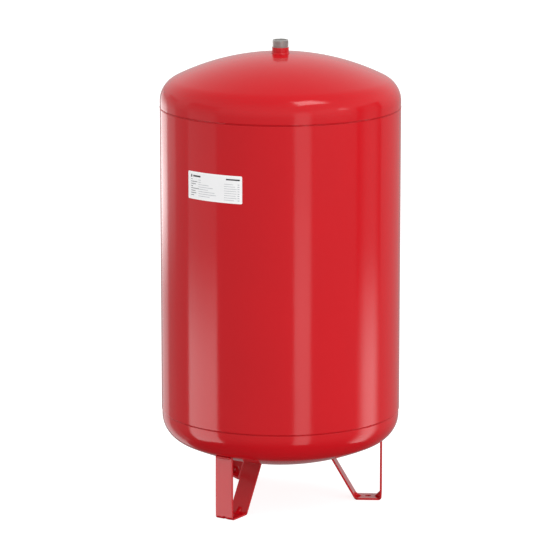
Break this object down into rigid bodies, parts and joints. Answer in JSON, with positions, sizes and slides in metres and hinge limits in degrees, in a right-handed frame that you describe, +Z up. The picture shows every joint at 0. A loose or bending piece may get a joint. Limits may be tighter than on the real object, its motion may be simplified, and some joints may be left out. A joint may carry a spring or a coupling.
{
  "type": "expansion vessel",
  "caption": "Floor-standing diaphragm expansion vessel: welded cylindrical shell with dished ends, bent strip legs, threaded top connection and a gas valve in a pocket underneath.",
  "frame": {"origin": "on the floor, on the vessel's axis", "axes": "+Z up along the vessel's axis, -Y towards the side that carries the label's nearer edge, +X towards the right-hand leg"},
  "size_m": [0.486, 0.486, 0.9449],
  "materials": {
    "red_enamel": "gloss",
    "bare_steel": "turned",
    "zinc_steel": "zinc plated",
    "spring_steel": "drawn wire",
    "valve_brass": "turned",
    "butyl_rubber": "matt",
    "seal_rubber": "satin",
    "cap_plastic": "satin",
    "label_film": "satin"
  },
  "bodies": {
    "vessel": {"shell_cylinder": "red_enamel", "upper_dome": "red_enamel", "lower_dome": "red_enamel", "upper_girth_weld": "red_enamel", "lower_girth_weld": "red_enamel", "long_weld": "red_enamel", "connection_nipple": "bare_steel", "nipple_weld": "red_enamel", "inlet_guard": "zinc_steel", "leg_right": "red_enamel", "leg_back": "red_enamel", "leg_front_left": "red_enamel", "leg_welds": "red_enamel", "rating_label": "label_film", "support_ring": "zinc_steel", "clamp_ring": "zinc_steel", "retaining_ring": "zinc_steel", "valve_boss": "bare_steel", "boss_weld": "red_enamel", "valve_body": "valve_brass", "valve_o_ring": "seal_rubber", "core_barrel": "valve_brass", "core_sleeve_seal": "seal_rubber"},
    "diaphragm": {"diaphragm": "butyl_rubber"},
    "valve_pin": {"valve_pin": "bare_steel", "pin_washer": "seal_rubber", "valve_spring": "spring_steel"},
    "valve_cap": {"valve_cap": "cap_plastic", "cap_seal_disc": "seal_rubber"}
  },
  "joints": [
    {"name": "diaphragm_stroke", "type": "slide", "parent": "vessel", "child": "diaphragm", "axis": [0, 0, 1], "range_m": [-0.16, 0.58], "stiffness_N_per_m": 2000, "springref_m": 0.006, "deforming": ["diaphragm"]},
    {"name": "valve_pin_travel", "type": "slide", "parent": "vessel", "child": "valve_pin", "axis": [0, 0, 1], "range_m": [0, 0.0015], "stiffness_N_per_m": 400, "springref_m": -0.0005, "deforming": ["valve_spring"]},
    {"name": "valve_cap_off", "type": "slide", "parent": "vessel", "child": "valve_cap", "axis": [0, 0, -1], "range_m": [0, 0.05]}
  ]
}
